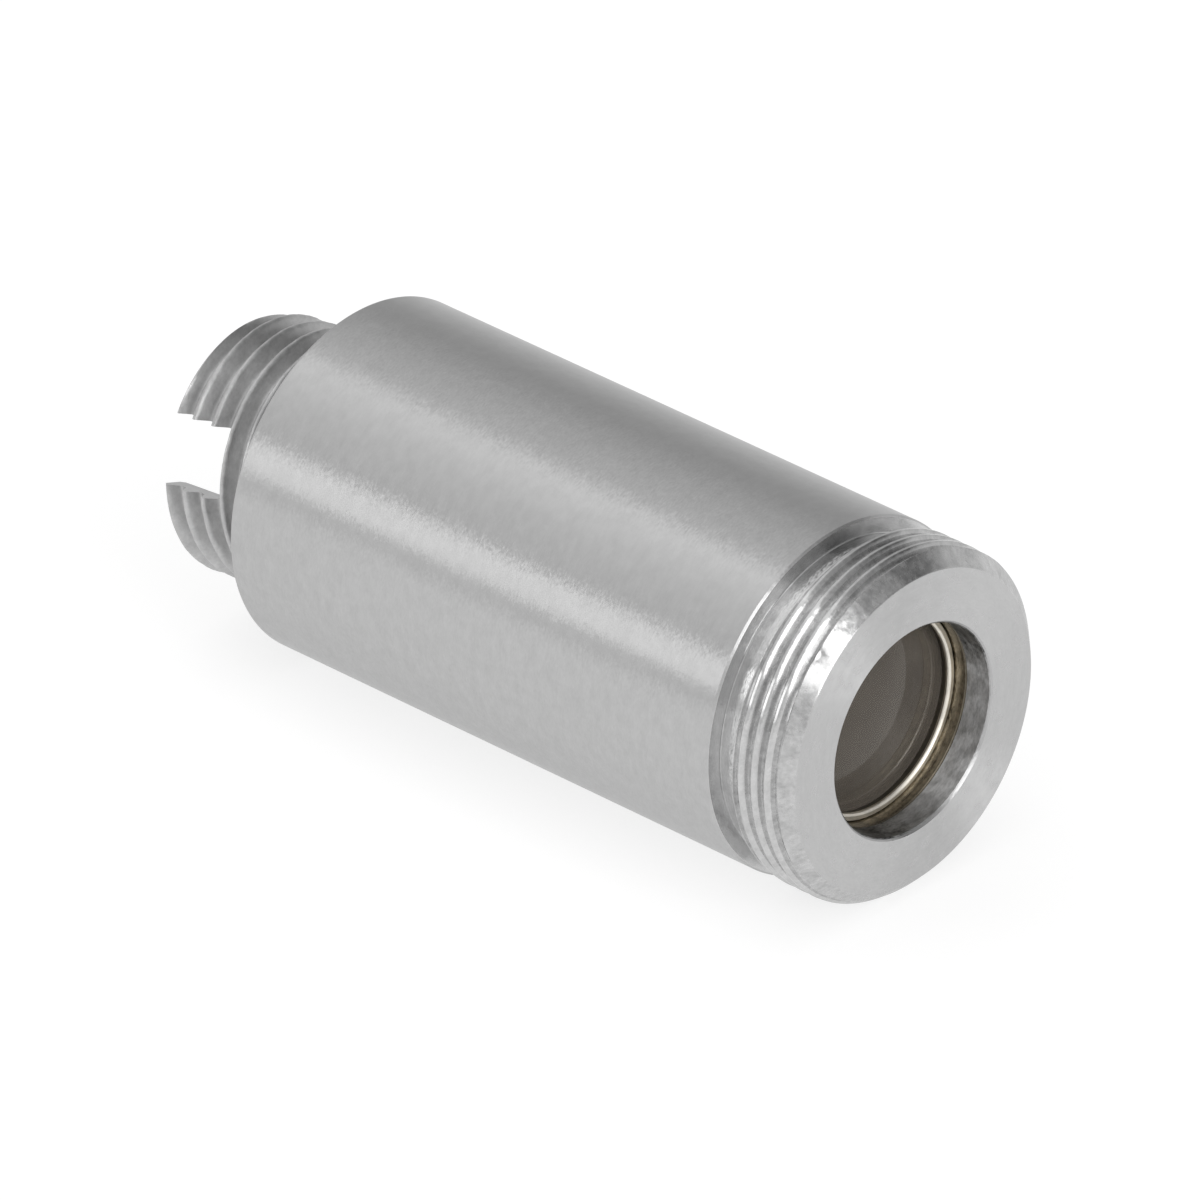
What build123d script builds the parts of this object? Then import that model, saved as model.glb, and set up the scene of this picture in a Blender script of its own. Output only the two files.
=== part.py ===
from build123d import *
from math import radians, tan
import os

# Fixed fibre collimator, millimetres.
# X is the optical axis and the beam leaves towards +X. Z is up.
# The origin lies on the axis, half way along the smooth barrel, where a mount grips it.

# Smooth barrel
barrel_diameter = 11.0
barrel_length = 18.92
shoulder_chamfer = 0.08
rear_edge_chamfer = 0.12

# Form of both threads, drawn as rings of grooves in place of a helix
thread_flank_angle = 60
thread_depth_per_pitch = 0.6134
thread_crest_per_pitch = 0.125
groove_overcut = 0.02

# Threaded nose of the barrel, M11 x 0.5
nose_length = 2.93
nose_thread_pitch = 0.5
nose_thread_allowance = 0.06
nose_first_groove = 0.49
nose_chamfer = 0.5
relief_depth = 0.37
relief_width = 0.62
relief_run_out = 0.22

# Front opening of the barrel, and the bores behind its lip
aperture_edge_chamfer = 0.08
lip_thickness = 0.95
nose_wall = 1.08
thread_spare_length = 0.7
main_bore_relief = 0.2
seat_wall = 0.83

# Moulded aspheric lens
lens_thickness = 2.17
lens_front_radius = 11.0
lens_rim_width = 0.25

# Cell that carries the lens, and the ring that keeps the lens in it
cell_clearance = 0.02
cell_wall = 0.726
lens_clearance = 0.024
cell_length = 4.6
cell_mouth_chamfer = 0.06
lens_seat_width = 0.5
lens_ring_setback = 0.35
lens_ring_length = 0.43
lens_ring_wall_front = 0.24
lens_ring_wall_rear = 0.165

# Lock ring behind the lens cell
lock_ring_length = 1.1
lock_ring_wall = 1.0
spanner_slot_width = 0.8
spanner_slot_depth = 0.5

# Where the fibre ends inside the barrel's rear face, and how its axis leans
fibre_end_depth = 1.85
fibre_tilt = 4.5
key_roll = 18.8

# Receptacle for the connector, its lengths along its own axis from the fibre's end
receptacle_tip = 6.03
receptacle_thread_diameter = 8.0
receptacle_thread_pitch = 0.75
receptacle_first_groove = 0.485
receptacle_tip_chamfer = 0.18
thread_relief_depth = 0.47
thread_relief_width = 0.25
pilot_clearance = 0.02
pilot_rear = 1.45
pilot_front = 2.5
pilot_chamfer = 0.2

# Recess for the connector's nose, and the slot for its key
recess_wall = 0.9
recess_floor = 2.0
recess_mouth_chamfer = 0.12
key_slot_width = 2.14
key_slot_floor = 3.9

# Boss and bore that guide the ferrule, and the way out for the light
ferrule_diameter = 2.5
ferrule_clearance = 0.002
ferrule_mouth_chamfer = 0.3
ferrule_boss_wall = 1.05
ferrule_boss_tip = 4.8
ferrule_boss_chamfer = 0.2
beam_hole_diameter = 1.8
beam_hole_length = 0.8
beam_cone_diameter = 4.4

# Places along the optical axis
shoulder_x = barrel_length / 2
front_x = shoulder_x + nose_length
rear_x = -barrel_length / 2
cell_front_x = front_x - lip_thickness
cell_rear_x = cell_front_x - cell_length
lock_ring_rear_x = cell_rear_x - lock_ring_length
lens_ring_front_x = cell_front_x - lens_ring_setback
lens_rim_x = lens_ring_front_x - lens_ring_length
fibre_end_x = rear_x + fibre_end_depth

# Radii about the optical axis
barrel_radius = barrel_diameter / 2
nose_radius = barrel_radius - nose_thread_allowance / 2
relief_radius = nose_radius - relief_depth
cell_seat_radius = relief_radius - nose_wall
main_bore_radius = cell_seat_radius + main_bore_relief
pilot_seat_radius = barrel_radius - seat_wall
cell_radius = cell_seat_radius - cell_clearance
cell_bore_radius = cell_radius - cell_wall
aperture_radius = cell_bore_radius
lens_radius = cell_bore_radius - lens_clearance
optic_radius = lens_radius - lens_rim_width

# The lens stands in front of its rim by the height of its dome
lens_dome = lens_front_radius - (lens_front_radius**2 - optic_radius**2) ** 0.5
lens_front_x = lens_rim_x + lens_dome
lens_seat_x = lens_front_x - lens_thickness

# The receptacle leans about the direction of its key slot
key_direction = Vector(0, -1, 0).rotate(Axis.X, -key_roll)
rearward = Vector(-1, 0, 0).rotate(Axis((0, 0, 0), key_direction), fibre_tilt)
fibre_end = Vector(fibre_end_x, 0, 0)
receptacle_axis = Axis(fibre_end, rearward)
across_receptacle = Plane(origin=fibre_end, x_dir=key_direction, z_dir=rearward)
along_receptacle = Plane(
    origin=fibre_end, x_dir=key_direction, z_dir=key_direction.cross(rearward)
)

# Radii about the receptacle's axis
receptacle_radius = receptacle_thread_diameter / 2
neck_radius = receptacle_radius - thread_relief_depth
pilot_radius = pilot_seat_radius - pilot_clearance
recess_radius = receptacle_radius - recess_wall
ferrule_bore_radius = ferrule_diameter / 2 + ferrule_clearance
boss_radius = ferrule_bore_radius + ferrule_boss_wall


def rims_of(part, radius):
    """Circular edges of one radius about the optical axis, from rear to front."""
    circles = part.edges().filter_by(GeomType.CIRCLE)
    return circles.filter_by(lambda rim: abs(rim.radius - radius) < 1e-6).sort_by(Axis.X)


def groove_places(start, end, first_groove, pitch):
    """Centres of a thread's grooves between the two ends of its crests."""
    count = int((end - start - first_groove) / pitch) + 1
    return [start + first_groove + turn * pitch for turn in range(count)]


def groove_size(pitch):
    """Width and height of the trapezoid that cuts one groove, overcut included."""
    overcut_width = 2 * groove_overcut / tan(radians(thread_flank_angle))
    width = (1 - thread_crest_per_pitch) * pitch + overcut_width
    return width, thread_depth_per_pitch * pitch + groove_overcut


# Barrel
with BuildPart() as barrel:
    relief_front_x = shoulder_x + relief_width
    nose_thread_x = relief_front_x + relief_run_out
    with BuildSketch(Plane.XY):
        with BuildLine():
            Polyline(
                (rear_x, 0),
                (rear_x, barrel_radius),
                (shoulder_x, barrel_radius),
                (shoulder_x, relief_radius),
                (relief_front_x, relief_radius),
                (nose_thread_x, nose_radius),
                (front_x, nose_radius),
                (front_x, 0),
                close=True,
            )
        make_face()
    revolve(axis=Axis.X)
    chamfer(rims_of(barrel, nose_radius)[-1], nose_chamfer)
    chamfer(rims_of(barrel, barrel_radius)[-1], shoulder_chamfer)
    chamfer(rims_of(barrel, barrel_radius)[0], rear_edge_chamfer)

    # Grooves of the nose thread
    nose_grooves = groove_places(
        nose_thread_x, front_x - nose_chamfer, nose_first_groove, nose_thread_pitch
    )
    nose_groove_width, nose_groove_height = groove_size(nose_thread_pitch)
    with BuildSketch(Plane.XY):
        with Locations(*[(x, nose_radius + groove_overcut) for x in nose_grooves]):
            Trapezoid(
                nose_groove_width,
                nose_groove_height,
                thread_flank_angle,
                rotation=180,
                align=(Align.CENTER, Align.MIN),
            )
    revolve(axis=Axis.X, mode=Mode.SUBTRACT)

    # Bore for the lens cell, with a wider bore behind it and the opening in front
    with BuildSketch(Plane.YZ.offset(rear_x)):
        Circle(main_bore_radius)
    extrude(
        amount=lock_ring_rear_x - thread_spare_length - rear_x, mode=Mode.SUBTRACT
    )
    with BuildSketch(Plane.YZ.offset(rear_x)):
        Circle(cell_seat_radius)
    extrude(amount=cell_front_x - rear_x, mode=Mode.SUBTRACT)
    with BuildSketch(Plane.YZ.offset(rear_x)):
        Circle(aperture_radius)
    extrude(amount=front_x - rear_x, mode=Mode.SUBTRACT)
    chamfer(rims_of(barrel, aperture_radius)[-1], aperture_edge_chamfer)

    # Leaning counterbore that holds the receptacle
    with BuildSketch(across_receptacle.offset(-pilot_front)):
        Circle(pilot_seat_radius)
    extrude(amount=pilot_front + receptacle_tip, mode=Mode.SUBTRACT)
barrel.part.label = "barrel"


# Lens, with a domed front, a flat rim and a flat back
with BuildPart() as lens:
    with BuildSketch(Plane.XY):
        with BuildLine():
            RadiusArc((lens_front_x, 0), (lens_rim_x, optic_radius), -lens_front_radius)
            Polyline(
                (lens_rim_x, optic_radius),
                (lens_rim_x, lens_radius),
                (lens_seat_x, lens_radius),
                (lens_seat_x, 0),
                (lens_front_x, 0),
            )
        make_face()
    revolve(axis=Axis.X)
lens.part.label = "lens"


# Thin ring that keeps the lens on its seat, its bore a little wider at the lens
with BuildPart() as lens_retaining_ring:
    with BuildSketch(Plane.XY):
        with BuildLine():
            Polyline(
                (lens_ring_front_x, lens_radius - lens_ring_wall_front),
                (lens_ring_front_x, lens_radius),
                (lens_rim_x, lens_radius),
                (lens_rim_x, lens_radius - lens_ring_wall_rear),
                close=True,
            )
        make_face()
    revolve(axis=Axis.X)
lens_retaining_ring.part.label = "lens_retaining_ring"


# Cell that carries the lens, screwed in from the rear until it meets the lip
with BuildPart() as lens_cell:
    with BuildSketch(Plane.YZ.offset(cell_rear_x)):
        Circle(cell_radius)
        Circle(cell_bore_radius - lens_seat_width, mode=Mode.SUBTRACT)
    extrude(amount=cell_length)
    with BuildSketch(Plane.YZ.offset(lens_seat_x)):
        Circle(cell_bore_radius)
    extrude(amount=cell_front_x - lens_seat_x, mode=Mode.SUBTRACT)
    chamfer(rims_of(lens_cell, cell_bore_radius)[-1], cell_mouth_chamfer)
    with BuildSketch(Plane.YZ.offset(cell_rear_x)):
        Rectangle(spanner_slot_width, 3 * cell_radius)
    extrude(amount=spanner_slot_depth, mode=Mode.SUBTRACT)
lens_cell.part.label = "lens_cell"


# Ring that locks the cell in its thread
with BuildPart() as cell_lock_ring:
    with BuildSketch(Plane.YZ.offset(lock_ring_rear_x)):
        Circle(cell_radius)
        Circle(cell_radius - lock_ring_wall, mode=Mode.SUBTRACT)
    extrude(amount=lock_ring_length)
    with BuildSketch(Plane.YZ.offset(lock_ring_rear_x)):
        Rectangle(spanner_slot_width, 3 * cell_radius)
    extrude(amount=spanner_slot_depth, mode=Mode.SUBTRACT)
cell_lock_ring.part.label = "cell_lock_ring"


# Receptacle, turned in one piece and seated in the leaning counterbore
with BuildPart() as receptacle:
    neck_rear = pilot_rear + thread_relief_width
    thread_start = neck_rear + thread_relief_depth
    thread_end = receptacle_tip - receptacle_tip_chamfer
    with BuildSketch(along_receptacle):
        with BuildLine():
            Polyline(
                (0, -pilot_front),
                (pilot_radius, -pilot_front),
                (pilot_radius, pilot_rear - pilot_chamfer),
                (pilot_radius - pilot_chamfer, pilot_rear),
                (neck_radius, pilot_rear),
                (neck_radius, neck_rear),
                (receptacle_radius, thread_start),
                (receptacle_radius, thread_end),
                (receptacle_radius - receptacle_tip_chamfer, receptacle_tip),
                (0, receptacle_tip),
                close=True,
            )
        make_face()
    revolve(axis=receptacle_axis)

    # Grooves of the connector's thread
    receptacle_grooves = groove_places(
        thread_start, thread_end, receptacle_first_groove, receptacle_thread_pitch
    )
    groove_width, groove_height = groove_size(receptacle_thread_pitch)
    with BuildSketch(along_receptacle):
        with Locations(*[(receptacle_radius + groove_overcut, y) for y in receptacle_grooves]):
            Trapezoid(
                groove_width,
                groove_height,
                thread_flank_angle,
                rotation=90,
                align=(Align.CENTER, Align.MIN),
            )
    revolve(axis=receptacle_axis, mode=Mode.SUBTRACT)

    # Recess round the boss
    with BuildSketch(along_receptacle):
        with BuildLine():
            Polyline(
                (boss_radius, recess_floor),
                (recess_radius, recess_floor),
                (recess_radius, receptacle_tip - recess_mouth_chamfer),
                (recess_radius + recess_mouth_chamfer, receptacle_tip),
                (0, receptacle_tip),
                (0, ferrule_boss_tip),
                (boss_radius - ferrule_boss_chamfer, ferrule_boss_tip),
                (boss_radius, ferrule_boss_tip - ferrule_boss_chamfer),
                close=True,
            )
        make_face()
    revolve(axis=receptacle_axis, mode=Mode.SUBTRACT)

    # Ferrule bore down to its stop at the fibre's end, then the hole and cone for the light
    with BuildSketch(along_receptacle):
        with BuildLine():
            Polyline(
                (0, -pilot_front),
                (beam_cone_diameter / 2, -pilot_front),
                (beam_hole_diameter / 2, -beam_hole_length),
                (beam_hole_diameter / 2, 0),
                (ferrule_bore_radius, 0),
                (ferrule_bore_radius, ferrule_boss_tip - ferrule_mouth_chamfer),
                (ferrule_bore_radius + ferrule_mouth_chamfer, ferrule_boss_tip),
                (0, ferrule_boss_tip),
                close=True,
            )
        make_face()
    revolve(axis=receptacle_axis, mode=Mode.SUBTRACT)

    # Key slot through the threaded wall, on one side only
    slot_start = (boss_radius + recess_radius) / 2
    slot_end = receptacle_radius + receptacle_tip_chamfer
    with BuildSketch(across_receptacle.offset(key_slot_floor)):
        with Locations(((slot_start + slot_end) / 2, 0)):
            Rectangle(slot_end - slot_start, key_slot_width)
    extrude(amount=receptacle_tip - key_slot_floor, mode=Mode.SUBTRACT)
receptacle.part.label = "receptacle"


os.makedirs("parts", exist_ok=True)
for piece in (barrel, lens, lens_retaining_ring, lens_cell, cell_lock_ring, receptacle):
    export_step(piece.part, f"parts/{piece.part.label}.step")
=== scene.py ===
import math

import bmesh
import bpy
from mathutils import Matrix, Vector, noise


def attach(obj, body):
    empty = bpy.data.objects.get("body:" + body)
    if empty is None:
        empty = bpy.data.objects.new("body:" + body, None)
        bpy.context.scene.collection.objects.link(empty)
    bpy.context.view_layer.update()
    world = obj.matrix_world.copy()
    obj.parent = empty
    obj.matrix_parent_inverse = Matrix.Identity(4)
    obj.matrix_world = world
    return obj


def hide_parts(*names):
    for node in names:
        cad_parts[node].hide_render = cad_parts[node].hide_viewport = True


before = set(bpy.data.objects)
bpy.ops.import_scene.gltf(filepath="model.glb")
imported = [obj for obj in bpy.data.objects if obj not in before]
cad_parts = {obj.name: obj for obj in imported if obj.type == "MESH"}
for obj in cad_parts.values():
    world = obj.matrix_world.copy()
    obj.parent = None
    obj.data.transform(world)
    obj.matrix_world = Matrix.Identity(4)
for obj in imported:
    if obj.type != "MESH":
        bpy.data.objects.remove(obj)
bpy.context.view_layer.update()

# Lengths below are in millimetres and angles in degrees, as in the part's source.
# X is the optical axis, the beam leaves towards +X, and angles about it run from +Y to +Z.
# A thread's flanks are half the crest's width, a flank's length and how rounded they are.
# A thread's crest_at is a point of its crest, as x and angle. Ragged is how worn the crest is.
MM = 0.001
SHARP_ANGLE = math.radians(28)

# Points round each piece, and along one turn of a thread
COLUMNS = 360
RECEPTACLE_COLUMNS = 300
RING_COLUMNS = 240
LENS_COLUMNS = 180
LENS_STEPS = 24
THREAD_SAMPLES = 26
EDGE_STEPS = 5

# Wear of a thread's crest: features a millimetre round it and along it, and the fine one's share
WEAR_COARSE = (1.9, 4.0)
WEAR_FINE = (7.0, 9.0)
WEAR_FINE_SHARE = 0.6

# Barrel
BARREL_R = 5.5
SHOULDER_X = 9.46
REAR_X = -9.46
FRONT_X = 12.39
SHOULDER_CHAMFER = 0.06
REAR_EDGE_R = 0.12
REAR_EDGE_LAND = 0.02
NOSE_R = 5.47
NOSE_ROOT_R = 5.255
NOSE_PITCH = 0.5
NOSE_FLANKS = (0.04, 0.17, 0.5)
NOSE_CREST_AT = (11.103, 141.8)
NOSE_RAGGED = 0.012
NOSE_CHAMFER = 0.5
CHAMFER_X = FRONT_X - NOSE_CHAMFER
THREAD_START_X = 10.3
# Radius below which the nose thread's roots get painted shade
PAINTED_SHADE_ROOT_R = 5.36
RELIEF_R = 4.95
RELIEF_END_X = 10.08
RELIEF_CORNER = 0.04
RELIEF_CORNER_MIDDLE = 0.012
RELIEF_CORNER_END = 0.06
RUN_OUT_X = 10.25
RUN_OUT_R = 5.26
RUN_OUT_LENGTH = 0.1
TOOL_MARKS_X = 9.8
EDGE_BREAK = 0.025
EDGE_BREAK_IN = EDGE_BREAK * 0.4
FACE_LAND = 0.05
APERTURE_R = 3.274
APERTURE_CHAMFER = 0.08
LIP_X = 11.44
LIP_CHAMFER = 0.02
CELL_SEAT_R = 4.02
CELL_SEAT_END_X = 5.04
MAIN_BORE_R = 4.22

# Knocks in the nose's edge: x, angle, half width, depth
NOSE_DENTS = [
    (12.06, 133.3, 0.16, 0.06),
    (11.93, 117.5, 0.06, 0.03),
    (12.2, 104.0, 0.06, 0.02),
]

# Receptacle, its lengths along its own leaning axis, forward from the fibre's end
FIBRE_END_X = -7.61
TILT = 4.5
KEY_ROLL = 18.8
SEAT_R = 4.67
PILOT_R = 4.65
PILOT_FRONT = 2.5
PILOT_REAR = -1.45
PILOT_CHAMFER = 0.2
TIP = -6.03
TIP_CHAMFER = 0.18
CONNECTOR_R = 4.0
CONNECTOR_ROOT_R = 3.55
CONNECTOR_PITCH = 0.75
CONNECTOR_FLANKS = (0.03, 0.28, 0.6)
CONNECTOR_CREST_AT = (-3.03, -29.4)
CONNECTOR_RAGGED = 0.035
NECK_R = 3.53
NECK_CORNER = 0.05
NECK_REAR = -1.7
THREAD_START = -2.17
RECESS_R = 3.1
RECESS_FLOOR = -2.0
RECESS_CHAMFER = 0.12
BOSS_R = 2.302
BOSS_TIP = -4.8
BOSS_CHAMFER = 0.2
FERRULE_R = 1.252
FERRULE_CHAMFER = 0.3
BEAM_HOLE_R = 0.9
BEAM_HOLE_END = 0.8
BEAM_CONE_R = 2.2
KEY_SLOT_WIDTH = 2.14
KEY_SLOT_FLOOR = -3.9
KEY_SLOT_SPARE = 0.3

# Lens, its ring, its cell and the cell's lock ring
LENS_R = 3.25
OPTIC_R = 3.0
LENS_FRONT_R = 11.0
LENS_RIM_X = 10.66
LENS_THICKNESS = 2.17
LENS_APEX_X = LENS_RIM_X + (LENS_FRONT_R - math.sqrt(LENS_FRONT_R**2 - OPTIC_R**2))
LENS_BACK_X = LENS_APEX_X - LENS_THICKNESS
LENS_EDGE_CHAMFER = 0.1
LENS_RING_FRONT_X = 11.0
LENS_RING_EDGE = 0.03
LENS_RING_LAND = 0.02
LENS_RING_STEP = 0.01
LENS_RING_BEVEL = 0.075
LENS_RING_BOW = (0.5, 0.4)
# Behind this x the lens ring gets painted shade
LENS_RING_PAINTED_SHADE_X = 10.84
LENS_RING_FRONT_R = 3.01
LENS_RING_REAR_R = 3.085
CELL_R = 4.0
CELL_BORE_R = 3.274
CELL_SEAT_BORE_R = 2.774
CELL_MOUTH_CHAMFER = 0.06
CELL_EDGE_CHAMFER = 0.15
CELL_REAR_X = 6.84
LOCK_RING_REAR_X = 5.74
LOCK_RING_BORE_R = 3.0
SPANNER_SLOT_WIDTH = 0.8
SPANNER_SLOT_DEPTH = 0.5
SPANNER_SPARE = 0.5

# Marks on the metal: scales in features a metre, how far they stretch round the axis, and the
# span of each noise that is used
MARK_SCALE = 19000.0
MARK_STRETCH = 0.4
SMEAR_SCALE = 5200.0
CLOUD_SCALE = 2600.0
CLOUD_SHIFT = (0.3, 0.1, 0.7)
MARK_SPAN = (0.3, 0.7)
CLOUD_ROUGH_SPAN = (0.36, 0.64)
CLOUD_SPAN = (0.35, 0.65)
MARK_BLOTCH = (-0.8, 0.8)
CLOUD_BLOTCH = (-0.5, 0.5)
DARKEST = 0.04
METAL_TINT = (0.87, 0.87, 0.87, 1)

# Finishes: grey, lowest roughness, highest roughness, glint, ridges, contrast
BARREL_FINISH = (0.505, 0.3, 0.35, 0.2, 0.0, 0.05)
SHOULDER_FINISH = (0.62, 0.14, 0.2, 0.03, 0.0, 0.06)
RELIEF_FINISH = (0.56, 0.12, 0.2, 0.05, 0.1, 0.08)
TOOL_MARKS_FINISH = (0.58, 0.16, 0.26, 0.05, 0.8, 0.06)
THREAD_FINISH = (0.55, 0.14, 0.22, 0.05, 0.15, 0.1)
# Painted shade: the nose thread's roots are darker, where shade falls between the crests
THREAD_ROOT_PAINTED_SHADE = (0.42, 0.2, 0.32, 0.05, 0.2, 0.2)
CHAMFER_FINISH = (0.51, 0.2, 0.3, 0.12, 0.12, 0.14)
FACE_FINISH = (0.52, 0.27, 0.33, 0.14, 0.0, 0.04)
WALL_FINISH = (0.52, 0.4, 0.5, 0.15, 0.1, 0.22)
RECEPTACLE_FINISH = (0.5, 0.3, 0.4, 0.1, 0.1, 0.1)
RING_FINISH = (0.85, 0.36, 0.46, 0.06, 0.1, 0.12)
# Painted shade on the rear and bore of the lens ring
RING_REAR_PAINTED_SHADE = (0.25, 0.3, 0.35, 0.02, 0.0, 0.1)
CELL_FINISH = (0.3, 0.2, 0.4, 0.05, 0.3, 0.6)
CELL_EDGE_FINISH = (0.15, 0.4, 0.5, 0.05, 0.0, 0.3)

# Painted shade and a painted reflection, set one by one: a painted dark reflection on the ends of
# the bore wall, where the photograph shows dark reflections, and painted shade on the hidden
# inside, dark so that the lens looks as deep as it does there
WALL_PAINTED_REFLECTION = (0.14, 0.3, 0.4, 0.1, 0.1, 0.9)
WALL_PAINTED_REFLECTION_SIDE = ((0, 0.786, -0.618), 0.75, 0.25)
# Painted shade on the hidden inside of the barrel and receptacle, and on the cell behind the lens
INSIDE_PAINTED_SHADE = (0.03, 0.5, 0.6, 0.05, 0.0, 0.1)
CELL_INSIDE_PAINTED_SHADE = (0.04, 0.6, 0.65, 0.0, 0.0, 0.05)

# Colours of the ring and the cell, and how far light smears along the marks of each metal
RING_TINT = (1.0, 0.95, 0.85)
CELL_TINT = (1.0, 0.88, 0.68)
CELL_STRETCH = 0.05
BARREL_SMEAR = 0.95
RECEPTACLE_SMEAR = 0.5
RING_SMEAR = 0.3
CELL_SMEAR = 0.4

# Haze on the lens: its scale in features a metre, its two tones, where it fades behind the
# front and what is left of it there
HAZE_SCALE = 700.0
HAZE_TONES = [(0.3, (0.44, 0.385, 0.325)), (0.7, (0.54, 0.475, 0.4))]
HAZE_FADE = (0.4, 0.2)
HAZE_LEFT = 0.06
GLASS_ROUGHNESS = 0.02
GLASS_IOR = 1.59
GLASS_SPECULAR = 0.1
GLASS_TINT = (0.12, 0.11, 0.1, 1)
GLASS_TRANSMISSION = 0.75

# Floor, in metres
FLOOR_SIZE = 1.5
FLOOR_GREY = 0.36
FLOOR_GLOW = 0.73

# Brightness of the tent against the angle about X, fitted to the photograph's light
TENT = [
    (-180, 0.8), (-90, 0.9), (-20, 0.72), (6, 0.76), (14, 0.74), (22, 0.62), (30, 0.49),
    (38, 0.52), (46, 0.62), (54, 0.7), (62, 0.76), (78, 0.84), (88.5, 0.82), (90.5, 1.3),
    (95, 1.27), (102, 1.09), (110, 0.96), (118, 0.9), (128, 0.84), (145, 0.8), (175, 0.84),
    (180, 0.8),
]

# Darker cards in the tent: direction, angles inside which they are full and outside which they
# are gone, and the share of light that they leave
CARDS = [
    ((0.46, 0.7, 0.55), 6, 19, 0.42),
    ((0.58, 0.48, 0.66), 13, 34, 0.55),
]

# Lamps: name, direction, direction of their width, width and height in metres, and watts
LAMP_DISTANCE = 0.5
LAMPS = [
    ("left_box", (-0.59, -0.75, 0.275), (-0.8, 0.6, 0), 0.14, 0.15, 0.115),
    ("right_box", (0.93, -0.135, 0.34), (0.04, -0.33, -0.25), 0.24, 0.34, 0.68),
]

# Camera, from a fit to the photograph's ellipses
CAMERA_AZIMUTH = 43.2654
CAMERA_ELEVATION = 29.803
CAMERA_PLACE = (316.165, -335.787, 263.615)
SENSOR_WIDTH = 36.0
FOCAL_LENGTH = 552.25


def leaning_frame():
    """Matrix from the receptacle's own axes (forward, key side, across) to the object's."""
    roll = math.radians(KEY_ROLL)
    key = Vector((0, -math.cos(roll), math.sin(roll)))
    forward = Matrix.Rotation(math.radians(TILT), 3, key) @ Vector((1, 0, 0))
    axes = Matrix((forward, key, forward.cross(key))).transposed().to_4x4()
    return Matrix.Translation((FIBRE_END_X, 0, 0)) @ axes


STRAIGHT = Matrix.Identity(4)
LEANING = leaning_frame()


def along(points, x):
    """Height at x of a broken line of (x, height) points, listed by rising x."""
    for (x0, r0), (x1, r1) in zip(points, points[1:]):
        if x <= x1:
            return r0 + (r1 - r0) * (x - x0) / (x1 - x0)
    return points[-1][1]


class Thread:
    """A right-handed screw thread cut into a turned envelope."""

    def __init__(self, pitch, crest_r, root_r, crest_at, widths, envelope, ragged):
        self.pitch = pitch
        self.crest_r = crest_r
        self.root_r = root_r
        self.crest_x, self.crest_angle = crest_at
        self.crest_flat, self.flank, self.rounding = widths
        self.envelope = envelope
        self.ragged = ragged
        self.dents = []

    def radius(self, x, turn):
        """Radius at x, where turn is the angle in whole turns."""
        phase = (x - self.crest_x) / self.pitch - (turn - self.crest_angle / 360)
        from_crest = abs(phase - round(phase)) * self.pitch
        down = min(max((from_crest - self.crest_flat) / self.flank, 0.0), 1.0)
        down += self.rounding * (down * down * (3 - 2 * down) - down)
        place = Vector((math.cos(math.tau * turn), math.sin(math.tau * turn), 0)) * self.crest_r
        wear = noise.noise(place * WEAR_COARSE[0] + Vector((0, 0, x * WEAR_COARSE[1])))
        fine = noise.noise(place * WEAR_FINE[0] + Vector((0, 0, x * WEAR_FINE[1])))
        wear += WEAR_FINE_SHARE * fine
        crest = self.crest_r - self.ragged * (0.5 + 0.5 * min(max(wear, -1.0), 1.0))
        cut = crest + (self.root_r - crest) * down
        return min(cut, along(self.envelope, x)) - self.dent(x, turn * 360)

    def dent(self, x, angle):
        """Depth of the small three-cornered knocks in the edge, as (x, angle, size, depth)."""
        depth = 0.0
        for dent_x, dent_angle, size, deepest in self.dents:
            off_x = (x - dent_x) / size
            off_round = math.radians(angle - dent_angle) * self.crest_r / (size * 1.6)
            inside = 1 - max(-off_x, 0.5 * off_x + abs(off_round))
            depth = max(depth, deepest * inside)
        return depth


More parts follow.
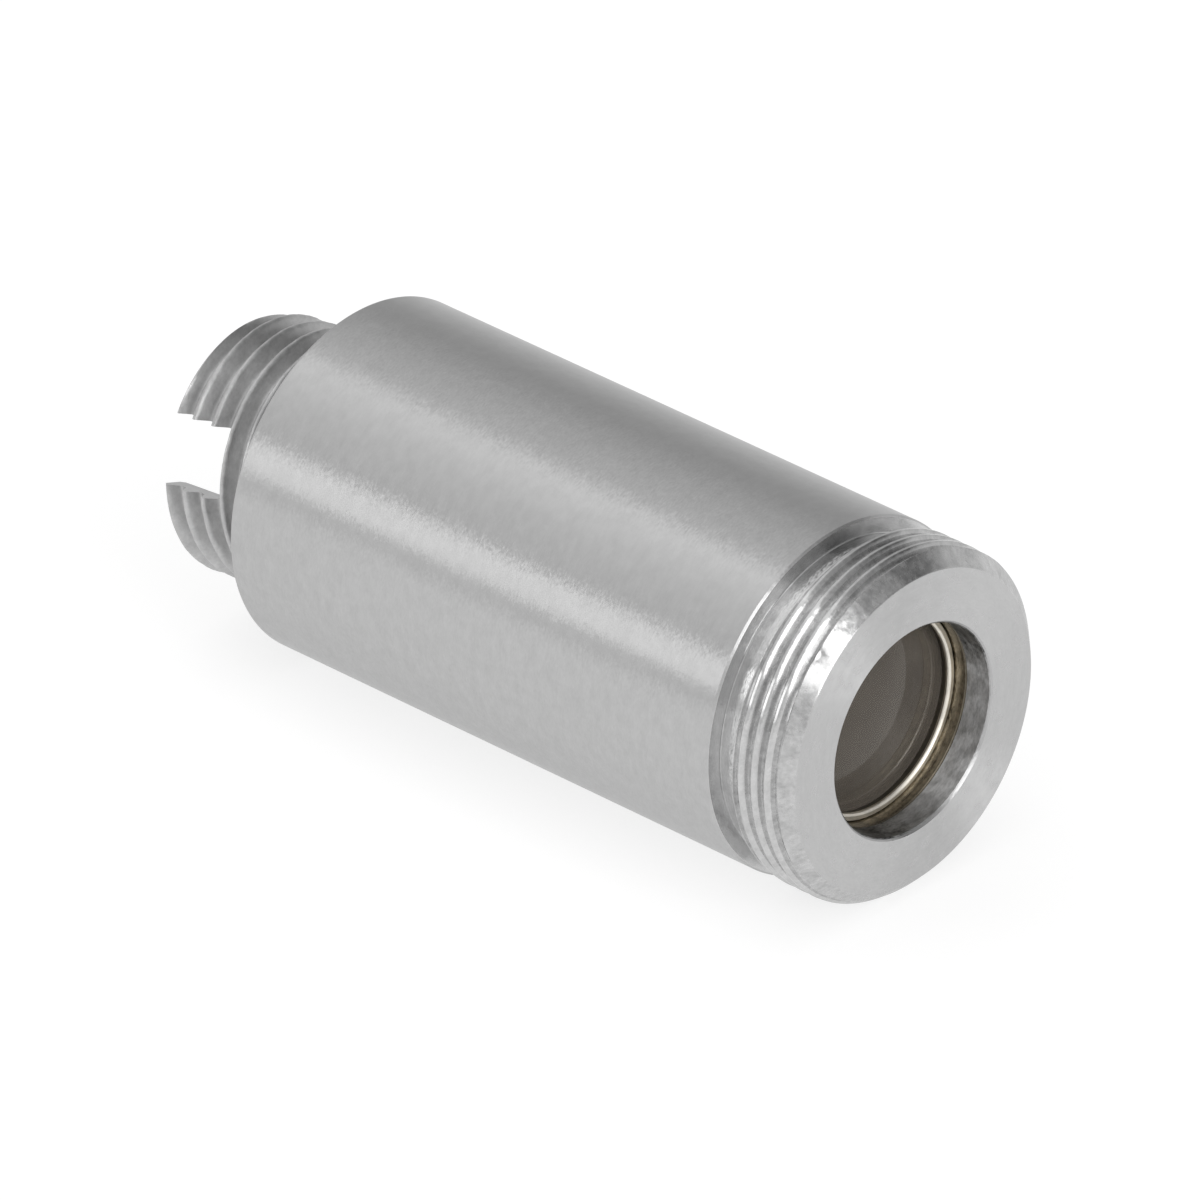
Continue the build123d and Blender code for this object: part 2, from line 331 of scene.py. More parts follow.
class Skin:
    """Collects the rings and faces of one closed turned piece."""

    def __init__(self, columns=COLUMNS):
        self.columns = columns
        self.points = []
        self.faces = []
        self.last = None
        self.first = None

    def turn(self, column):
        return column / self.columns

    def add(self, matrix, x, radius, turn):
        angle = math.tau * turn
        place = matrix @ Vector((x, radius * math.cos(angle), radius * math.sin(angle)))
        self.points.append(place * MM)
        return len(self.points) - 1

    def join(self, ring):
        """Bridges the last ring to this one."""
        if self.last is not None:
            for a, b in zip(range(self.columns), [*range(1, self.columns), 0]):
                self.faces.append((self.last[a], self.last[b], ring[b], ring[a]))
        if self.first is None:
            self.first = ring
        self.last = ring

    def ring(self, x, radius, matrix=STRAIGHT):
        self.join([self.add(matrix, x, radius, self.turn(c)) for c in range(self.columns)])

    def rings(self, profile, matrix=STRAIGHT):
        for x, radius in profile:
            self.ring(x, radius, matrix)

    def placed(self, places):
        """A ring through points already worked out, one for each column."""
        start = len(self.points)
        self.points.extend(place * MM for place in places)
        self.join(list(range(start, start + self.columns)))

    def thread(self, thread, x_from, x_to, matrix=STRAIGHT):
        """A helical patch between two plain rings at x_from and x_to, where x_from is lower."""
        ends = []
        for x in (x_from, x_to):
            turns = [self.turn(c) for c in range(self.columns)]
            ends.append([self.add(matrix, x, thread.radius(x, turn), turn) for turn in turns])
        turns_of_thread = math.ceil((x_to - x_from) / thread.pitch) + 1
        count = turns_of_thread * THREAD_SAMPLES + 1
        rows = []
        for row in range(count + THREAD_SAMPLES):
            line = []
            for column in range(self.columns):
                turn = self.turn(column)
                x = x_from + thread.pitch * (row / THREAD_SAMPLES - 1 + turn)
                if x <= x_from:
                    line.append(ends[0][column])
                elif x >= x_to:
                    line.append(ends[1][column])
                else:
                    line.append(self.add(matrix, x, thread.radius(x, turn), turn))
            rows.append(line)
        for row in range(count - 1):
            for column in range(self.columns):
                if column + 1 < self.columns:
                    after = rows[row][column + 1], rows[row + 1][column + 1]
                else:
                    after = rows[row + THREAD_SAMPLES][0], rows[row + 1 + THREAD_SAMPLES][0]
                corners = (rows[row][column], after[0], after[1], rows[row + 1][column])
                face = tuple(dict.fromkeys(corners))
                if len(face) > 2:
                    self.faces.append(face)
        return ends

    def between(self, ends, towards_low):
        """Joins a threaded patch into the run of rings, from one of its ends to the other."""
        near, far = (ends[1], ends[0]) if towards_low else (ends[0], ends[1])
        self.join(near)
        self.last = far

    def build(self, name):
        self.join(self.first)
        return finish_mesh(name, self.points, self.faces)


def finish_mesh(name, points, faces):
    mesh = bpy.data.meshes.new(name)
    mesh.from_pydata(points, [], faces)
    shape = bmesh.new()
    shape.from_mesh(mesh)
    loose = [vertex for vertex in shape.verts if not vertex.link_faces]
    bmesh.ops.delete(shape, geom=loose, context="VERTS")
    bmesh.ops.recalc_face_normals(shape, faces=shape.faces)
    shape.to_mesh(mesh)
    shape.free()
    piece = bpy.data.objects.new(name, mesh)
    bpy.context.scene.collection.objects.link(piece)
    return piece


def round_edge(centre, radius, start, end):
    """Points of a small arc in the profile, from one angle to another."""
    share = [i / EDGE_STEPS for i in range(EDGE_STEPS + 1)]
    turns = [math.radians(start + (end - start) * part) for part in share]
    return [(centre[0] + radius * math.cos(t), centre[1] + radius * math.sin(t)) for t in turns]


def cut_box(piece, low, high, matrix):
    """Cuts a box, given in the axes of matrix, out of a closed piece."""
    corners = [
        matrix @ Vector((x, y, z)) * MM
        for x in (low[0], high[0])
        for y in (low[1], high[1])
        for z in (low[2], high[2])
    ]
    sides = [(0, 1, 3, 2), (4, 6, 7, 5), (0, 4, 5, 1), (2, 3, 7, 6), (0, 2, 6, 4), (1, 5, 7, 3)]
    tool = finish_mesh("cutter", corners, sides)
    cutter = piece.modifiers.new("cut", "BOOLEAN")
    cutter.operation = "DIFFERENCE"
    cutter.solver = "EXACT"
    cutter.object = tool
    depsgraph = bpy.context.evaluated_depsgraph_get()
    old = piece.data
    piece.data = bpy.data.meshes.new_from_object(piece.evaluated_get(depsgraph))
    piece.modifiers.clear()
    bpy.data.meshes.remove(old)
    bpy.data.objects.remove(tool)


def settle(piece, node, material):
    """Shades a finished piece, gives it its material and puts it in its node's place."""
    piece.data.polygons.foreach_set("use_smooth", [True] * len(piece.data.polygons))
    piece.data.set_sharp_from_angle(angle=SHARP_ANGLE)
    piece.data.materials.clear()
    piece.data.materials.append(material)
    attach(piece, "root")
    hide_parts(node)


# Node helpers

def new_material(name):
    material = bpy.data.materials.new(name)
    material.use_nodes = True
    return material, material.node_tree


def add_node(tree, kind, **settings):
    node = tree.nodes.new(kind)
    for key, value in settings.items():
        setattr(node, key, value)
    return node


def feed(tree, node, socket, value):
    """Sets a socket to a value, or links it if the value is another node's output."""
    if isinstance(value, bpy.types.NodeSocket):
        tree.links.new(value, node.inputs[socket])
    else:
        node.inputs[socket].default_value = value


def maths(tree, operation, *values):
    node = add_node(tree, "ShaderNodeMath", operation=operation)
    for index, value in enumerate(values):
        feed(tree, node, index, value)
    return node.outputs[0]


def vectors(tree, operation, *values, result=0):
    node = add_node(tree, "ShaderNodeVectorMath", operation=operation)
    for index, value in enumerate(values):
        feed(tree, node, index if operation != "SCALE" or index == 0 else "Scale", value)
    return node.outputs[result]


def spread(tree, value, low, high, out_low, out_high, shape="LINEAR"):
    node = add_node(tree, "ShaderNodeMapRange", interpolation_type=shape)
    feed(tree, node, "Value", value)
    feed(tree, node, "From Min", low)
    feed(tree, node, "From Max", high)
    feed(tree, node, "To Min", out_low)
    feed(tree, node, "To Max", out_high)
    return node.outputs[0]


def fractal(tree, vector, scale, detail, roughness=0.5):
    node = add_node(tree, "ShaderNodeTexNoise")
    feed(tree, node, "Vector", vector)
    feed(tree, node, "Scale", scale)
    feed(tree, node, "Detail", detail)
    feed(tree, node, "Roughness", roughness)
    return node.outputs["Fac"]


def ramp(tree, value, stops):
    """Colour ramp with (place, grey or colour) stops."""
    node = add_node(tree, "ShaderNodeValToRGB")
    feed(tree, node, "Fac", value)
    points = node.color_ramp.elements
    while len(points) < len(stops):
        points.new(1.0)
    for point, (place, colour) in zip(points, stops):
        point.position = place
        point.color = (*colour, 1) if isinstance(colour, tuple) else (colour, colour, colour, 1)
    return node.outputs["Color"]


def object_place(tree):
    """Place on the object in its own axes, in metres."""
    return add_node(tree, "ShaderNodeTexCoord").outputs["Object"]


def turned_directions(tree, matrix):
    """Vectors that follow the turning marks about the axis of matrix."""
    axis = (matrix.to_3x3() @ Vector((1, 0, 0)))[:]
    centre = (matrix.translation * MM)[:]
    offset = vectors(tree, "SUBTRACT", object_place(tree), centre)
    distance = vectors(tree, "DOT_PRODUCT", offset, axis, result=1)
    stem = vectors(tree, "SCALE", axis, distance)
    out = vectors(tree, "SUBTRACT", offset, stem)
    radius = vectors(tree, "LENGTH", out, result=1)
    ring = vectors(tree, "NORMALIZE", vectors(tree, "CROSS_PRODUCT", axis, out))
    return axis, distance, out, radius, ring


def in_zone(tree, distance, radius, x_range, r_range):
    """One between two distances along the axis and two radii, given in millimetres."""
    inside = maths(tree, "GREATER_THAN", distance, x_range[0] * MM)
    inside = maths(tree, "MULTIPLY", inside, maths(tree, "LESS_THAN", distance, x_range[1] * MM))
    inside = maths(tree, "MULTIPLY", inside, maths(tree, "GREATER_THAN", radius, r_range[0] * MM))
    return maths(tree, "MULTIPLY", inside, maths(tree, "LESS_THAN", radius, r_range[1] * MM))


def blended(tree, value, other, share):
    change = maths(tree, "SUBTRACT", other, value)
    return maths(tree, "MULTIPLY_ADD", change, share, value)


def turned_metal(name, matrix, smear, finish, zones, tint=(1, 1, 1), stretch=0.3):
    """Metal with the fine marks of a lathe: they run round the axis and smear the light along it.

    A finish is (grey, lowest roughness, highest roughness, glint, ridges, contrast). Each zone
    is an x range, a radius range, the finish inside them (some zones hold painted shade, one a
    painted dark reflection) and, if it is on one side only, the direction of that side with the
    cosines where the zone starts and where it is full.
    A later zone lies over an earlier one.
    """
    material, tree = new_material(name)
    shader = tree.nodes["Principled BSDF"]
    axis, distance, out, radius, ring = turned_directions(tree, matrix)
    groove = vectors(tree, "SCALE", axis, maths(tree, "ADD", distance, radius))
    marks = fractal(tree, vectors(tree, "ADD", groove, vectors(tree, "SCALE", out, MARK_STRETCH)),
                    MARK_SCALE, 3.0, 0.6)
    smears = fractal(tree, vectors(tree, "ADD", groove, vectors(tree, "SCALE", out, stretch)),
                     SMEAR_SCALE, 4.0, 0.6)
    cloud = fractal(tree, vectors(tree, "ADD", object_place(tree), CLOUD_SHIFT), CLOUD_SCALE, 3.0)

    grey, low, high, glint, ridges, contrast = finish
    rough = spread(tree, smears, *MARK_SPAN, low, high)
    for x_range, r_range, inner, *side in zones:
        inside = in_zone(tree, distance, radius, x_range, r_range)
        # A zone on one side only carries the painted dark reflection on the bore wall
        if side:
            towards, start, full = side
            outward = vectors(tree, "NORMALIZE", out)
            facing = vectors(tree, "DOT_PRODUCT", outward, towards, result=1)
            turned = spread(tree, facing, start, full, 0.0, 1.0, "SMOOTHSTEP")
            inside = maths(tree, "MULTIPLY", inside, turned)
        grey = blended(tree, grey, inner[0], inside)
        inner_rough = spread(tree, cloud, *CLOUD_ROUGH_SPAN, inner[1], inner[2])
        rough = blended(tree, rough, inner_rough, inside)
        glint = blended(tree, glint, inner[3], inside)
        ridges = blended(tree, ridges, inner[4], inside)
        contrast = blended(tree, contrast, inner[5], inside)

    centred = maths(tree, "SUBTRACT", marks, 0.5)
    lean = maths(tree, "MULTIPLY", centred, glint)
    tip = maths(tree, "MULTIPLY", centred, ridges)
    flat = add_node(tree, "ShaderNodeNewGeometry").outputs["Normal"]
    leaned = vectors(tree, "ADD", flat, vectors(tree, "SCALE", ring, lean))
    leaned = vectors(tree, "ADD", leaned, vectors(tree, "SCALE", axis, tip))
    feed(tree, shader, "Normal", vectors(tree, "NORMALIZE", leaned))
    feed(tree, shader, "Tangent", vectors(tree, "CROSS_PRODUCT", flat, ring))

    blotches = maths(tree, "ADD", spread(tree, smears, *MARK_SPAN, *MARK_BLOTCH),
                     spread(tree, cloud, *CLOUD_SPAN, *CLOUD_BLOTCH))
    blotches = maths(tree, "ADD", blotches, spread(tree, marks, *MARK_SPAN, *MARK_BLOTCH))
    shade = maths(tree, "MULTIPLY_ADD", blotches, contrast, 1.0)
    shade = maths(tree, "MULTIPLY", maths(tree, "MAXIMUM", shade, DARKEST), grey)
    mixed = add_node(tree, "ShaderNodeCombineColor")
    for channel, weight in enumerate(tint):
        feed(tree, mixed, channel, maths(tree, "MULTIPLY", shade, weight))
    feed(tree, shader, "Base Color", mixed.outputs[0])
    feed(tree, shader, "Roughness", rough)
    feed(tree, shader, "Metallic", 1.0)
    feed(tree, shader, "Specular Tint", METAL_TINT)
    feed(tree, shader, "Anisotropic", smear)
    return material


def lens_glass(name):
    """Glass with a thin brown-grey haze on its front and a weak reflection."""
    material, tree = new_material(name)
    shader = tree.nodes["Principled BSDF"]
    place = object_place(tree)
    parts = add_node(tree, "ShaderNodeSeparateXYZ")
    feed(tree, parts, 0, place)
    tone = ramp(tree, fractal(tree, place, HAZE_SCALE, 2.0), HAZE_TONES)
    gone, full = [(LENS_RIM_X - behind) * MM for behind in HAZE_FADE]
    front = spread(tree, parts.outputs["X"], gone, full, HAZE_LEFT, 1.0)
    feed(tree, shader, "Base Color", vectors(tree, "SCALE", tone, front))
    feed(tree, shader, "Roughness", GLASS_ROUGHNESS)
    feed(tree, shader, "IOR", GLASS_IOR)
    feed(tree, shader, "Specular IOR Level", GLASS_SPECULAR)
    feed(tree, shader, "Specular Tint", GLASS_TINT)
    feed(tree, shader, "Transmission Weight", GLASS_TRANSMISSION)
    return material


# Pieces

def make_barrel(material):
    """Housing: barrel, relief groove, threaded nose, front opening and the bores inside."""
    envelope = [
        (RELIEF_END_X, RELIEF_R),
        (RUN_OUT_X, RUN_OUT_R),
        (RUN_OUT_X + RUN_OUT_LENGTH, NOSE_R),
        (CHAMFER_X, NOSE_R),
        (FRONT_X - EDGE_BREAK, NOSE_R - NOSE_CHAMFER + EDGE_BREAK),
        (FRONT_X, NOSE_R - NOSE_CHAMFER - EDGE_BREAK_IN),
    ]
    thread = Thread(NOSE_PITCH, NOSE_R, NOSE_ROOT_R, NOSE_CREST_AT, NOSE_FLANKS, envelope,
                    NOSE_RAGGED)
    thread.dents = NOSE_DENTS
    skin = Skin()

    # Outside, from the rear face to the relief groove
    skin.ring(REAR_X, BARREL_R - REAR_EDGE_R - REAR_EDGE_LAND)
    skin.rings(round_edge((REAR_X + REAR_EDGE_R, BARREL_R - REAR_EDGE_R), REAR_EDGE_R, 180, 90))
    skin.rings([
        (REAR_X + REAR_EDGE_R + REAR_EDGE_LAND, BARREL_R),
        (SHOULDER_X - SHOULDER_CHAMFER, BARREL_R),
        (SHOULDER_X, BARREL_R - SHOULDER_CHAMFER),
        (SHOULDER_X, RELIEF_R + RELIEF_CORNER_END),
        (SHOULDER_X, RELIEF_R + RELIEF_CORNER),
        (SHOULDER_X + RELIEF_CORNER_MIDDLE, RELIEF_R + RELIEF_CORNER_MIDDLE),
        (SHOULDER_X + RELIEF_CORNER, RELIEF_R),
        (SHOULDER_X + RELIEF_CORNER_END, RELIEF_R),
    ])
    ends = skin.thread(thread, RELIEF_END_X, FRONT_X)
    skin.between(ends, towards_low=False)

    # Front face, opening, cell seat and main bore
    skin.rings([
        (FRONT_X, NOSE_R - NOSE_CHAMFER - FACE_LAND),
        (FRONT_X, APERTURE_R + APERTURE_CHAMFER),
        (FRONT_X - APERTURE_CHAMFER, APERTURE_R),
        (LIP_X + LIP_CHAMFER, APERTURE_R),
        (LIP_X, APERTURE_R + LIP_CHAMFER),
        (LIP_X, CELL_SEAT_R),
        (CELL_SEAT_END_X, CELL_SEAT_R),
        (CELL_SEAT_END_X, MAIN_BORE_R),
    ])

    # Leaning counterbore: its floor cuts the main bore, and its wall runs out at the rear face
    forward = LEANING.to_3x3() @ Vector((1, 0, 0))
    floor_centre = LEANING @ Vector((PILOT_FRONT, 0, 0))
    bore_edge, floor_edge, mouth = [], [], []
    for column in range(skin.columns):
        angle = math.tau * skin.turn(column)
        radial = Vector((0, math.cos(angle), math.sin(angle)))
        on_bore = radial * MAIN_BORE_R
        climb = forward.y * (on_bore.y - floor_centre.y) + forward.z * (on_bore.z - floor_centre.z)
        on_bore.x = floor_centre.x - climb / forward.x
        across = radial - forward * radial.dot(forward)
        on_floor = floor_centre + across.normalized() * SEAT_R
        on_mouth = on_floor + forward * ((REAR_X - on_floor.x) / forward.x)
        bore_edge.append(on_bore)
        floor_edge.append(on_floor)
        mouth.append(on_mouth)
    skin.placed(bore_edge)
    skin.placed(floor_edge)
    skin.placed(mouth)
    settle(skin.build("barrel_turned"), "barrel", material)


def make_receptacle(material):
    """Receptacle: seat, threaded outside, recess, boss, ferrule bore and key slot."""
    envelope = [
        (TIP, CONNECTOR_R - TIP_CHAMFER),
        (TIP + TIP_CHAMFER, CONNECTOR_R),
        (THREAD_START, CONNECTOR_R),
        (NECK_REAR, NECK_R),
    ]
    thread = Thread(CONNECTOR_PITCH, CONNECTOR_R, CONNECTOR_ROOT_R, CONNECTOR_CREST_AT,
                    CONNECTOR_FLANKS, envelope, CONNECTOR_RAGGED)
    skin = Skin(RECEPTACLE_COLUMNS)
    skin.rings([
        (PILOT_FRONT, BEAM_CONE_R),
        (PILOT_FRONT, PILOT_R - PILOT_CHAMFER),
        (PILOT_FRONT - PILOT_CHAMFER, PILOT_R),
        (PILOT_REAR + PILOT_CHAMFER, PILOT_R),
        (PILOT_REAR, PILOT_R - PILOT_CHAMFER),
        (PILOT_REAR, NECK_R + NECK_CORNER),
        (PILOT_REAR - NECK_CORNER, NECK_R),
    ], LEANING)
    ends = skin.thread(thread, TIP, NECK_REAR, LEANING)
    skin.between(ends, towards_low=True)
    skin.rings([
        (TIP, RECESS_R + RECESS_CHAMFER),
        (TIP + RECESS_CHAMFER, RECESS_R),
        (RECESS_FLOOR, RECESS_R),
        (RECESS_FLOOR, BOSS_R),
        (BOSS_TIP + BOSS_CHAMFER, BOSS_R),
        (BOSS_TIP, BOSS_R - BOSS_CHAMFER),
        (BOSS_TIP, FERRULE_R + FERRULE_CHAMFER),
        (BOSS_TIP + FERRULE_CHAMFER, FERRULE_R),
        (0, FERRULE_R),
        (0, BEAM_HOLE_R),
        (BEAM_HOLE_END, BEAM_HOLE_R),
    ], LEANING)
    piece = skin.build("receptacle_turned")
    slot_in = (BOSS_R + RECESS_R) / 2
    low = (TIP - KEY_SLOT_SPARE, slot_in, -KEY_SLOT_WIDTH / 2)
    high = (KEY_SLOT_FLOOR, CONNECTOR_R + KEY_SLOT_SPARE, KEY_SLOT_WIDTH / 2)
    cut_box(piece, low, high, LEANING)
    settle(piece, "receptacle", material)


def make_lens(material):
    """Lens with a domed front and a flat back."""
    centre_x = LENS_APEX_X - LENS_FRONT_R
    widest = math.asin(OPTIC_R / LENS_FRONT_R)
    profile = []
    for step in range(1, LENS_STEPS + 1):
        angle = widest * step / LENS_STEPS
        profile.append((centre_x + LENS_FRONT_R * math.cos(angle), LENS_FRONT_R * math.sin(angle)))
    profile += [
        (LENS_RIM_X, LENS_R - LENS_EDGE_CHAMFER),
        (LENS_RIM_X - LENS_EDGE_CHAMFER, LENS_R),
        (LENS_BACK_X + LENS_EDGE_CHAMFER, LENS_R),
        (LENS_BACK_X, LENS_R - LENS_EDGE_CHAMFER),
        (LENS_BACK_X, LENS_R / 2),
    ]
    skin = Skin(LENS_COLUMNS)
    skin.rings(profile)
    front = skin.add(STRAIGHT, LENS_APEX_X, 0, 0)
    back = skin.add(STRAIGHT, LENS_BACK_X, 0, 0)
    for pole, ring in ((front, skin.first), (back, skin.last)):
        for column in range(LENS_COLUMNS):
            skin.faces.append((pole, ring[column], ring[(column + 1) % LENS_COLUMNS]))
    settle(finish_mesh("lens_ground", skin.points, skin.faces), "lens", material)


def make_lens_ring(material):
    """Thin ring that keeps the lens on its seat."""
    skin = Skin(RING_COLUMNS)
    bow_x = LENS_RING_FRONT_X - LENS_RING_BEVEL * LENS_RING_BOW[0]
    bow_r = LENS_RING_FRONT_R + LENS_RING_BEVEL * LENS_RING_BOW[1]
    skin.rings([
        (LENS_RING_FRONT_X, LENS_RING_FRONT_R + LENS_RING_BEVEL + LENS_RING_LAND),
        (LENS_RING_FRONT_X, LENS_R - LENS_RING_EDGE),
        (LENS_RING_FRONT_X - LENS_RING_EDGE, LENS_R),
        (LENS_RIM_X, LENS_R),
        (LENS_RIM_X, LENS_RING_REAR_R),
        (LENS_RING_FRONT_X - LENS_RING_BEVEL, LENS_RING_FRONT_R + LENS_RING_STEP),
        (bow_x, bow_r),
    ])
    settle(skin.build("lens_ring_turned"), "lens_retaining_ring", material)


def cut_spanner_slot(piece, rear_x, radius):
    """Cuts the slot for a spanner across the rear of a ring."""
    low = (rear_x - SPANNER_SPARE, -SPANNER_SLOT_WIDTH / 2, -radius - SPANNER_SPARE)
    high = (rear_x + SPANNER_SLOT_DEPTH, SPANNER_SLOT_WIDTH / 2, radius + SPANNER_SPARE)
    cut_box(piece, low, high, STRAIGHT)


def make_cell(material):
    """Tube that carries the lens."""
    skin = Skin(RING_COLUMNS)
    skin.rings([
        (CELL_REAR_X, CELL_SEAT_BORE_R),
        (CELL_REAR_X, CELL_R - CELL_EDGE_CHAMFER),
        (CELL_REAR_X + CELL_EDGE_CHAMFER, CELL_R),
        (LIP_X, CELL_R),
        (LIP_X, CELL_BORE_R + CELL_MOUTH_CHAMFER),
        (LIP_X - CELL_MOUTH_CHAMFER, CELL_BORE_R),
        (LENS_BACK_X, CELL_BORE_R),
        (LENS_BACK_X, CELL_SEAT_BORE_R),
    ])
    piece = skin.build("lens_cell_turned")
    cut_spanner_slot(piece, CELL_REAR_X, CELL_R)
    settle(piece, "lens_cell", material)


def make_lock_ring(material):
    """Ring that locks the cell in its thread."""
    skin = Skin(RING_COLUMNS)
    skin.rings([
        (LOCK_RING_REAR_X, LOCK_RING_BORE_R),
        (LOCK_RING_REAR_X, CELL_R - CELL_EDGE_CHAMFER),
        (LOCK_RING_REAR_X + CELL_EDGE_CHAMFER, CELL_R),
        (CELL_REAR_X, CELL_R),
        (CELL_REAR_X, LOCK_RING_BORE_R),
    ])
    piece = skin.build("lock_ring_turned")
    cut_spanner_slot(piece, LOCK_RING_REAR_X, CELL_R)
    settle(piece, "cell_lock_ring", material)


# Studio

def shown_ray(tree):
    """One for the rays that see the floor glow: camera, glossy and transmitted."""
    path = add_node(tree, "ShaderNodeLightPath")
    seen = maths(tree, "MAXIMUM", path.outputs["Is Camera Ray"], path.outputs["Is Glossy Ray"])
    return maths(tree, "MAXIMUM", seen, path.outputs["Is Transmission Ray"])


def make_floor():
    """Pale floor that keeps a soft shadow."""
    height = -BARREL_R * MM
    signs = ((-1, -1), (1, -1), (1, 1), (-1, 1))
    corners = [Vector((x * FLOOR_SIZE, y * FLOOR_SIZE, height)) for x, y in signs]
    mesh = bpy.data.meshes.new("floor")
    mesh.from_pydata(corners, [], [(0, 1, 2, 3)])
    floor = bpy.data.objects.new("floor", mesh)
    bpy.context.scene.collection.objects.link(floor)
    material, tree = new_material("floor_pale")
    shader = tree.nodes["Principled BSDF"]
    feed(tree, shader, "Base Color", (FLOOR_GREY, FLOOR_GREY, FLOOR_GREY, 1))
    feed(tree, shader, "Roughness", 1.0)
    feed(tree, shader, "Specular IOR Level", 0.0)
    feed(tree, shader, "Emission Color", (1, 1, 1, 1))
    feed(tree, shader, "Emission Strength", maths(tree, "MULTIPLY", shown_ray(tree), FLOOR_GLOW))
    mesh.materials.append(material)


def make_world():
    """Tent round the object with two darker cards. The camera alone sees plain white instead."""
    world = bpy.data.worlds.new("studio")
    bpy.context.scene.world = world
    world.use_nodes = True
    tree = world.node_tree
    background = tree.nodes["Background"]
    direction = add_node(tree, "ShaderNodeTexCoord").outputs["Generated"]
    parts = add_node(tree, "ShaderNodeSeparateXYZ")
    feed(tree, parts, 0, direction)
    angle = maths(tree, "ARCTAN2", parts.outputs["Z"], parts.outputs["Y"])
    place = spread(tree, angle, -math.pi, math.pi, 0.0, 1.0)
    dimmed = ramp(tree, place, [((degrees + 180) / 360, grey) for degrees, grey in TENT])
    for towards, full, gone, left in CARDS:
        centre = Vector(towards).normalized()[:]
        nearness = vectors(tree, "DOT_PRODUCT", direction, centre, result=1)
        edge, core = math.cos(math.radians(gone)), math.cos(math.radians(full))
        card = spread(tree, nearness, edge, core, 1.0, left, "SMOOTHSTEP")
        dimmed = vectors(tree, "SCALE", dimmed, card)
    camera_ray = add_node(tree, "ShaderNodeLightPath").outputs["Is Camera Ray"]
    shown = add_node(tree, "ShaderNodeMix", data_type="VECTOR")
    feed(tree, shown, 0, camera_ray)
    feed(tree, shown, 4, dimmed)
    feed(tree, shown, 5, (1, 1, 1))
    feed(tree, background, "Color", shown.outputs[1])


def make_softbox(name, towards, level, width, height, power):
    """Rectangular lamp in a direction from the object, facing it, its width along level."""
    data = bpy.data.lights.new(name, "AREA")
    data.shape = "RECTANGLE"
    data.size = width
    data.size_y = height
    data.energy = power
    lamp = bpy.data.objects.new(name, data)
    bpy.context.scene.collection.objects.link(lamp)
    back = Vector(towards).normalized()
    up = back.cross(Vector(level)).normalized()
    turn = Matrix((up.cross(back), up, back)).transposed()
    lamp.matrix_world = Matrix.Translation(back * LAMP_DISTANCE) @ turn.to_4x4()


def make_camera():
    """Camera of the photograph."""
    azimuth, elevation = math.radians(CAMERA_AZIMUTH), math.radians(CAMERA_ELEVATION)
    right = Vector((math.cos(azimuth), math.sin(azimuth), 0))
    back = Vector((
        math.sin(azimuth) * math.cos(elevation),
        -math.cos(azimuth) * math.cos(elevation),
        math.sin(elevation),
    ))
    up = back.cross(right)
    data = bpy.data.cameras.new("camera")
    data.sensor_width = SENSOR_WIDTH
    data.lens = FOCAL_LENGTH
    camera = bpy.data.objects.new("camera", data)
    bpy.context.scene.collection.objects.link(camera)
    turn = Matrix((right, up, back)).transposed().to_4x4()
    camera.matrix_world = Matrix.Translation(Vector(CAMERA_PLACE) * MM) @ turn
    bpy.context.scene.camera = camera


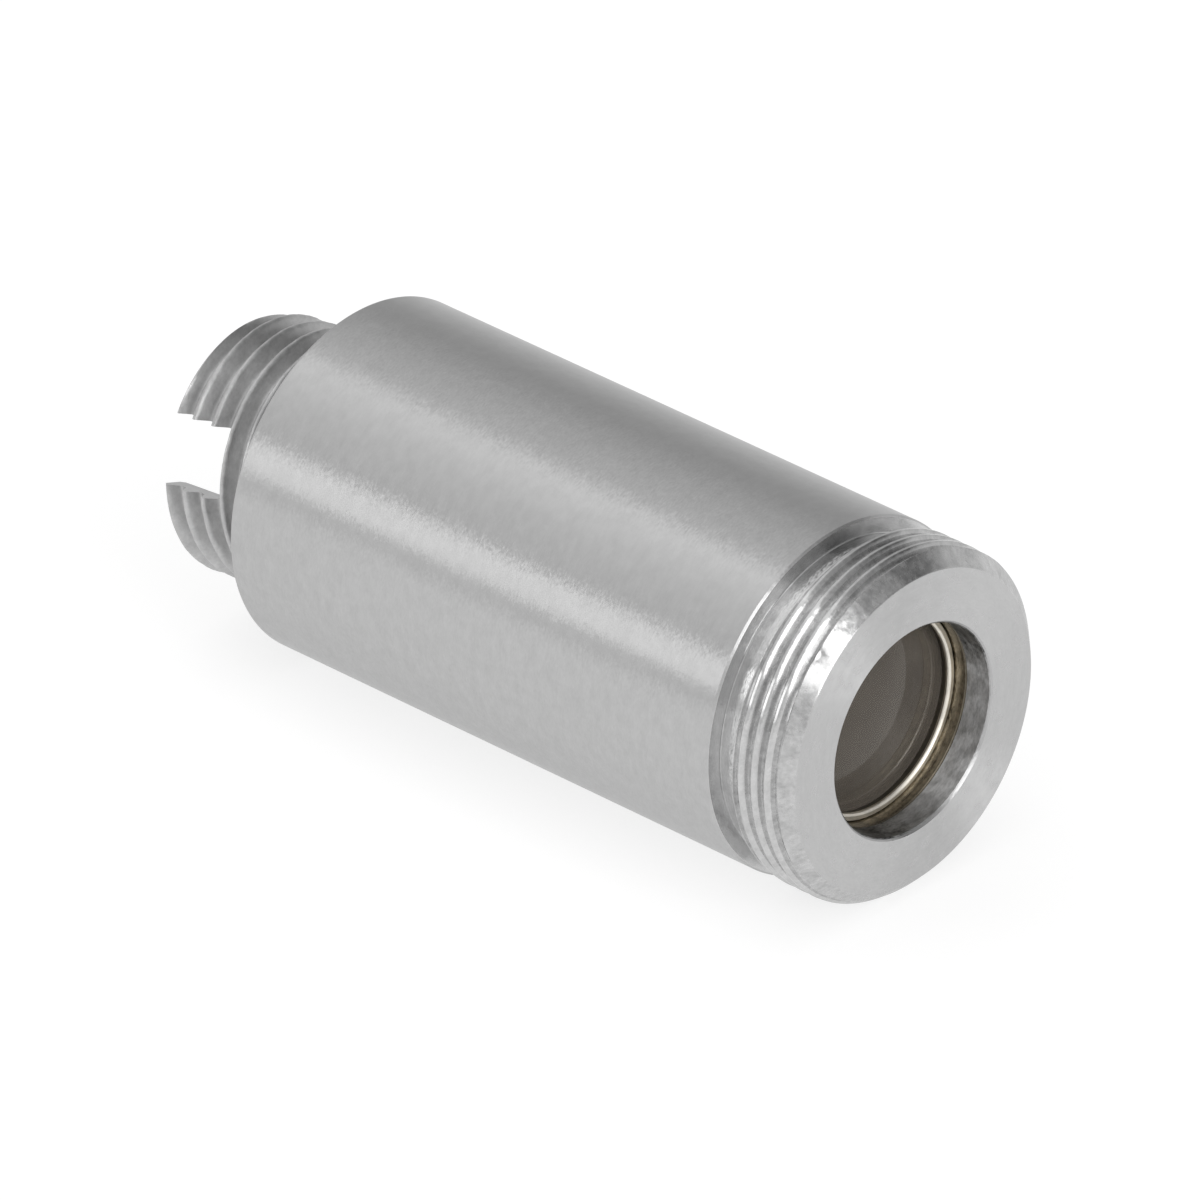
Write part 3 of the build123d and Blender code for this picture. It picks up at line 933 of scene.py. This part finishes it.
# How far a zone reaches past the surface that it covers
HAIR = 0.01
NOSE_RANGE = (CELL_SEAT_R, NOSE_R + HAIR)
ROOT_RANGE = (CELL_SEAT_R, PAINTED_SHADE_ROOT_R)
WALL_START_X = LIP_X - 0.05
WALL_RANGE = (WALL_START_X, FRONT_X)
BORE_RANGE = (0, APERTURE_R + 0.03)
INSIDE_RANGE = (0, SEAT_R + 0.2)
SEAT_RANGE = (0, SEAT_R + 0.1)
barrel_steel = turned_metal(
    "barrel_steel", STRAIGHT, BARREL_SMEAR, BARREL_FINISH,
    zones=[
        ((SHOULDER_X - HAIR / 2, SHOULDER_X + HAIR), NOSE_RANGE, SHOULDER_FINISH),
        ((SHOULDER_X + HAIR, TOOL_MARKS_X), NOSE_RANGE, RELIEF_FINISH),
        ((TOOL_MARKS_X, THREAD_START_X), NOSE_RANGE, TOOL_MARKS_FINISH),
        ((THREAD_START_X, CHAMFER_X), NOSE_RANGE, THREAD_FINISH),
        # Painted shade in the nose thread's roots
        ((THREAD_START_X, CHAMFER_X), ROOT_RANGE, THREAD_ROOT_PAINTED_SHADE),
        ((CHAMFER_X, FRONT_X - HAIR), NOSE_RANGE, CHAMFER_FINISH),
        ((FRONT_X - HAIR, FRONT_X + HAIR), (APERTURE_R, NOSE_R), FACE_FINISH),
        (WALL_RANGE, BORE_RANGE, WALL_FINISH),
        # Painted dark reflection on one side of the bore wall
        (WALL_RANGE, BORE_RANGE, WALL_PAINTED_REFLECTION, *WALL_PAINTED_REFLECTION_SIDE),
        # Painted shade on the barrel's hidden inside
        ((REAR_X + HAIR, WALL_START_X), INSIDE_RANGE, INSIDE_PAINTED_SHADE),
    ],
)
receptacle_steel = turned_metal(
    "receptacle_steel", LEANING, RECEPTACLE_SMEAR, RECEPTACLE_FINISH,
    # Painted shade on the receptacle's front, seen through the lens
    zones=[((PILOT_REAR + 0.05, PILOT_FRONT + 0.1), SEAT_RANGE, INSIDE_PAINTED_SHADE)],
)
ring_metal = turned_metal(
    "ring_metal", STRAIGHT, RING_SMEAR, RING_FINISH, tint=RING_TINT,
    # Painted shade on the lens ring's rear and bore
    zones=[((0, LENS_RING_PAINTED_SHADE_X), (0, LENS_R), RING_REAR_PAINTED_SHADE)],
)
cell_metal = turned_metal(
    "cell_metal", STRAIGHT, CELL_SMEAR, CELL_FINISH, tint=CELL_TINT, stretch=CELL_STRETCH,
    zones=[
        ((LIP_X - 0.07, LIP_X + HAIR), (0, BARREL_R), CELL_EDGE_FINISH),
        # Painted shade on the cell behind the lens
        ((0, LENS_RIM_X - 0.02), (0, BARREL_R), CELL_INSIDE_PAINTED_SHADE),
    ],
)
glass = lens_glass("lens_glass")

make_camera()
make_barrel(barrel_steel)
make_receptacle(receptacle_steel)
make_lens(glass)
make_lens_ring(ring_metal)
make_cell(cell_metal)
make_lock_ring(cell_metal)
make_floor()
make_world()
for lamp_settings in LAMPS:
    make_softbox(*lamp_settings)
bpy.context.scene.view_settings.view_transform = "Standard"
